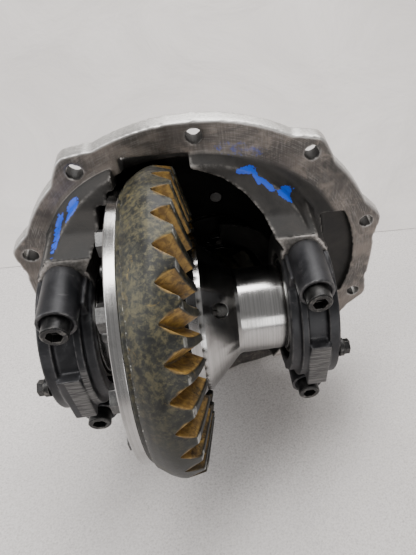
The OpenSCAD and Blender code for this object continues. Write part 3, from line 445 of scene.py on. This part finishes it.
# ---------- machined and hardware finishes for the CAD nodes ----------
def turned_steel(name, light, dark, rough, centre=(AXLE_Y, 0.0), axis="x", marks=1.0, bevel=0.0006):
    """Bright turned steel: fine rings round its axis, faint smears and lighter corners."""
    m = Look(name)
    along = {"x": m.x, "y": m.y, "z": m.z}[axis]
    across = {"x": (m.y, m.z), "y": (m.x, m.z), "z": (m.x, m.y)}[axis]
    a, b = m.sub(across[0], centre[0]), m.sub(across[1], centre[1])
    radius = m.math("SQRT", m.add(m.mul(a, a), m.mul(b, b)))
    rings = m.noise(5200, 3, 0.7, at=m.join(along, radius, 0.0))
    broad = m.noise(620, 3, 0.6, at=m.join(along, radius, 0.0))
    smear = m.noise(38, 5, 0.65, warp=0.7)
    edge, round_normal = m.edges(bevel)
    colour = m.mix(m.ramp(m.add(m.mul(rings, 0.5), m.mul(broad, 0.5)), 0.35, 0.65), grey(dark, 0.01), grey(light, 0.015))
    colour = m.mix(m.mul(m.ramp(smear, 0.52, 0.72), 0.35), colour, grey(dark * 0.55, 0.05))
    colour = m.mix(m.mul(edge, 0.5), colour, grey(min(1.0, light * 1.2)))
    wide = m.blend(m.ramp(smear, 0.35, 0.7), rough, rough * 1.8)
    wide = m.add(wide, m.mul(m.sub(rings, 0.5), 0.10))
    return m.finish(colour, wide, 1.0, m.add(m.mul(rings, marks), m.mul(broad, 0.4 * marks)), 0.10, 0.00012, round_normal)


def black_oxide():
    """Oxide on screws, polished through on the corners."""
    m = Look("black_oxide_skin")
    edge, round_normal = m.edges(0.0007)
    cloud = m.noise(150, 5, 0.7, warp=0.4)
    worn = m.mul(edge, m.ramp(m.noise(420, 4, 0.7), 0.34, 0.58))
    colour = m.mix(m.ramp(cloud, 0.35, 0.7), (0.018, 0.018, 0.019), (0.050, 0.049, 0.048))
    scuff = m.mul(m.ramp(m.noise(240, 5, 0.75), 0.50, 0.66), m.ramp(m.ny, -0.75, -0.95))
    colour = m.mix(m.high(m.mul(worn, 0.8), m.mul(scuff, 0.6)), colour, (0.24, 0.23, 0.215))
    rough = m.blend(m.ramp(cloud, 0.3, 0.7), 0.30, 0.48)
    return m.finish(colour, rough, 0.75, m.noise(1500, 4, 0.7), 0.10, 0.0002, round_normal)


def stamped(name, colour_a, colour_b, rough, metal=0.9, grain=1100):
    """Pressed or ground parts: small specks, soft clouds, worn corners."""
    m = Look(name)
    edge, round_normal = m.edges(0.0005)
    cloud = m.noise(90, 5, 0.7, warp=0.4)
    fine = m.noise(grain, 4, 0.7)
    colour = m.mix(m.ramp(m.add(m.mul(cloud, 0.6), m.mul(fine, 0.4)), 0.36, 0.66), colour_a, colour_b)
    colour = m.mix(m.mul(edge, 0.5), colour, tuple(min(1.0, c * 1.8) for c in colour_b))
    return m.finish(colour, m.blend(m.ramp(cloud, 0.3, 0.7), rough, rough * 1.4), metal, fine, 0.10, 0.0002, round_normal)


def support_look():
    """The pinion support: the same grey iron with machined flats towards the drive shaft."""
    m = Look("support_iron_skin")
    edge, round_normal = m.edges(0.0016)
    flat = m.mul(m.ramp(m.ny, 0.9, 0.98), m.inv(m.mul(edge, 0.8)))
    grime = m.noise(30, 5, 0.65, warp=0.4)
    colour = m.mix(m.ramp(grime, 0.35, 0.7), (0.022, 0.021, 0.020), (0.052, 0.049, 0.046))
    colour = m.mix(m.mul(edge, m.ramp(m.noise(160, 4, 0.7), 0.4, 0.6)), colour, (0.30, 0.29, 0.275))
    rings = m.noise(1800, 3, 0.6, stretch=(1, 1, 1))
    colour = m.mix(m.mul(flat, 0.8), colour, m.mix(rings, (0.20, 0.195, 0.19), (0.42, 0.41, 0.40)))
    height = m.blend(flat, cast_grain(m), m.mul(rings, 0.15))
    return m.finish(colour, m.blend(flat, 0.62, 0.34), m.blend(flat, 0.4, 0.95), height, 0.35, 0.0005, round_normal)


def rubber_look():
    m = Look("rubber_skin")
    edge, round_normal = m.edges(0.0005)
    bloom = m.noise(120, 5, 0.7, warp=0.5)
    colour = m.mix(m.ramp(bloom, 0.45, 0.75), (0.010, 0.010, 0.010), (0.045, 0.044, 0.042))
    return m.finish(colour, m.blend(bloom, 0.42, 0.62), 0.0, m.noise(1400, 4, 0.7), 0.15, 0.0002, round_normal)


pinion_low, pinion_high = (Vector(v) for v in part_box("yoke_washer"))
PINION = ((pinion_low.x + pinion_high.x) / 2, (pinion_low.z + pinion_high.z) / 2)
DIFF_X = sum(v.x for v in map(Vector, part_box("cross_shaft_pin"))) / 2

polished = turned_steel("polished_steel_skin", 0.50, 0.34, 0.13)
paint(polished, "diff_case", "case_cover")
paint(turned_steel("adjuster_steel_skin", 0.20, 0.10, 0.28), "adjuster_left", "adjuster_right")
bearing = turned_steel("bearing_steel_skin", 0.52, 0.40, 0.14)
paint(bearing, "side_cup_left", "side_cup_right", "side_cone_left", "side_cone_right", "side_washer_left",
      "side_washer_right", "side_rollers_left", "side_rollers_right")
oxide = black_oxide()
paint(oxide, "cap_screws", "lock_screws", "adjuster_lock_left", "adjuster_lock_right")
bolts = stamped("bolt_steel_skin", (0.055, 0.055, 0.056), (0.16, 0.158, 0.155), 0.30)
paint(bolts, "ring_gear_bolts", "support_bolts", "cover_screws", "cross_shaft_pin")
on_pinion = turned_steel("pinion_steel_skin", 0.50, 0.36, 0.18, centre=PINION, axis="y")
paint(on_pinion, "pinion_cone_inner", "pinion_cone_outer", "pinion_cup_inner", "pinion_cup_outer",
      "pinion_rollers_inner", "pinion_rollers_outer", "pinion_spacer", "pilot_bearing_cup", "pilot_rollers",
      "pilot_retainer", "yoke_washer", "pinion_nut")
paint(stamped("cage_steel_skin", (0.13, 0.125, 0.115), (0.27, 0.26, 0.24), 0.34), "side_cage_left",
      "side_cage_right", "pinion_cage_inner", "pinion_cage_outer")
paint(stamped("ground_steel_skin", (0.16, 0.155, 0.15), (0.36, 0.355, 0.34), 0.24), "side_gear_left",
      "side_gear_right", "spider_gear_top", "spider_gear_bottom", "cross_shaft", "spider_washer_top",
      "spider_washer_bottom")
paint(stamped("pinion_gear_skin", (0.020, 0.020, 0.019), (0.090, 0.080, 0.050), 0.42, 0.5), "pinion_gear")
paint(support_look(), "pinion_support")
paint(stamped("shim_steel_skin", (0.20, 0.20, 0.20), (0.42, 0.415, 0.40), 0.3), "support_shim")
paint(rubber_look(), "support_oring", "pinion_seal")
paint(stamped("yoke_steel_skin", (0.045, 0.043, 0.040), (0.14, 0.135, 0.125), 0.42, 0.7, 700), "yoke")


# ---------- table, paper and light ----------
def sheet_mesh(name, points, rows, columns):
    mesh = bpy.data.meshes.new(name)
    faces = [(i * columns + j, i * columns + j + 1, (i + 1) * columns + j + 1, (i + 1) * columns + j)
             for i in range(rows - 1) for j in range(columns - 1)]
    mesh.from_pydata(points, [], faces)
    for p in mesh.polygons:
        p.use_smooth = True
    obj = bpy.data.objects.new(name, mesh)
    bpy.context.scene.collection.objects.link(obj)
    return obj


def table_look():
    m = Look("white_table")
    speck = m.noise(620, 4, 0.75)
    cloud = m.noise(7, 4, 0.6)
    colour = m.mix(m.ramp(speck, 0.34, 0.66), (0.60, 0.565, 0.55), (0.80, 0.765, 0.75))
    colour = m.mix(m.mul(m.ramp(speck, 0.40, 0.32), 0.6), colour, (0.38, 0.36, 0.35))
    colour = m.mix(m.mul(m.ramp(cloud, 0.4, 0.7), 0.3), colour, (0.60, 0.57, 0.555))
    return m.finish(colour, m.blend(speck, 0.36, 0.55), 0.0, speck, 0.35, 0.0006, specular=0.45)


def paper_look():
    m = Look("grey_paper")
    fold = m.noise(5.5, 5, 0.55, warp=0.8)
    fibre = m.noise(240, 3, 0.6)
    colour = m.mix(m.ramp(fold, 0.35, 0.65), (0.66, 0.625, 0.605), (0.72, 0.685, 0.665))
    return m.finish(colour, 0.75, 0.0, m.add(m.mul(fold, 6.0), m.mul(fibre, 0.05)), 0.5, 0.004)


table = sheet_mesh("table_top", [(x, y, FLOOR_Z) for y in (-1.6, 2.4) for x in (-2.2, 2.2)], 2, 2)
table.data.materials.append(table_look())
# the paper rises behind the part with one soft bend
paper_points = []
for k in range(25):
    t = k / 24
    rise = 0.9 * max(0.0, t - 0.06) ** 1.7
    for x in (-2.2, -0.7, 0.0, 0.7, 2.2):
        paper_points.append((x, 0.191 - 0.015 * x + 1.1 * t, FLOOR_Z + 0.0006 + rise))
paper = sheet_mesh("paper_behind", paper_points, 25, 5)
paper.data.materials.append(paper_look())


def lamp(name, place, target, wide, tall, power, colour=(1, 1, 1)):
    data = bpy.data.lights.new(name, "AREA")
    data.shape, data.size, data.size_y, data.energy, data.color = "RECTANGLE", wide, tall, power, colour
    obj = bpy.data.objects.new(name, data)
    bpy.context.scene.collection.objects.link(obj)
    obj.matrix_world = Matrix.Translation(Vector(place)) @ (Vector(target) - Vector(place)).to_track_quat("-Z", "Y").to_matrix().to_4x4()


middle = (0.0, AXLE_Y, 0.0)
lamp("ceiling_tubes", (-0.15, 0.10, 1.15), middle, 1.5, 0.30, 17.0, (1.0, 0.985, 0.965))
lamp("ceiling_back", (0.25, 0.95, 0.95), middle, 1.3, 0.45, 13.0, (1.0, 0.985, 0.965))
lamp("left_window", (-1.15, -0.10, 0.55), middle, 0.6, 0.7, 7.5, (0.97, 0.985, 1.0))
lamp("near_card", (0.35, -1.25, 0.25), middle, 0.9, 0.5, 4.5, (1.0, 0.99, 0.975))

world = bpy.data.worlds.new("studio")
world.use_nodes = True
world.node_tree.nodes["Background"].inputs[0].default_value = (0.80, 0.79, 0.78, 1)
world.node_tree.nodes["Background"].inputs[1].default_value = 0.42
bpy.context.scene.world = world


# ---------- camera ----------
def camera():
    down, turn, lean = math.radians(46.7), math.radians(11.01), math.radians(1.39)
    f = Vector((math.sin(turn) * math.cos(down), math.cos(turn) * math.cos(down), -math.sin(down)))
    r0 = Vector((math.cos(turn), -math.sin(turn), 0))
    u0 = r0.cross(f)
    r = r0 * math.cos(lean) + u0 * math.sin(lean)
    u = u0 * math.cos(lean) - r0 * math.sin(lean)
    data = bpy.data.cameras.new("camera")
    data.sensor_width, data.lens = 36, 488.3 / 555 * 36
    data.shift_x, data.shift_y = -0.125, 0.0027
    data.clip_start, data.clip_end = 0.01, 20
    obj = bpy.data.objects.new("camera", data)
    bpy.context.scene.collection.objects.link(obj)
    obj.matrix_world = Matrix(((r.x, u.x, -f.x, 0.0012), (r.y, u.y, -f.y, -0.2835), (r.z, u.z, -f.z, 0.2924), (0, 0, 0, 1)))
    bpy.context.scene.camera = obj


camera()
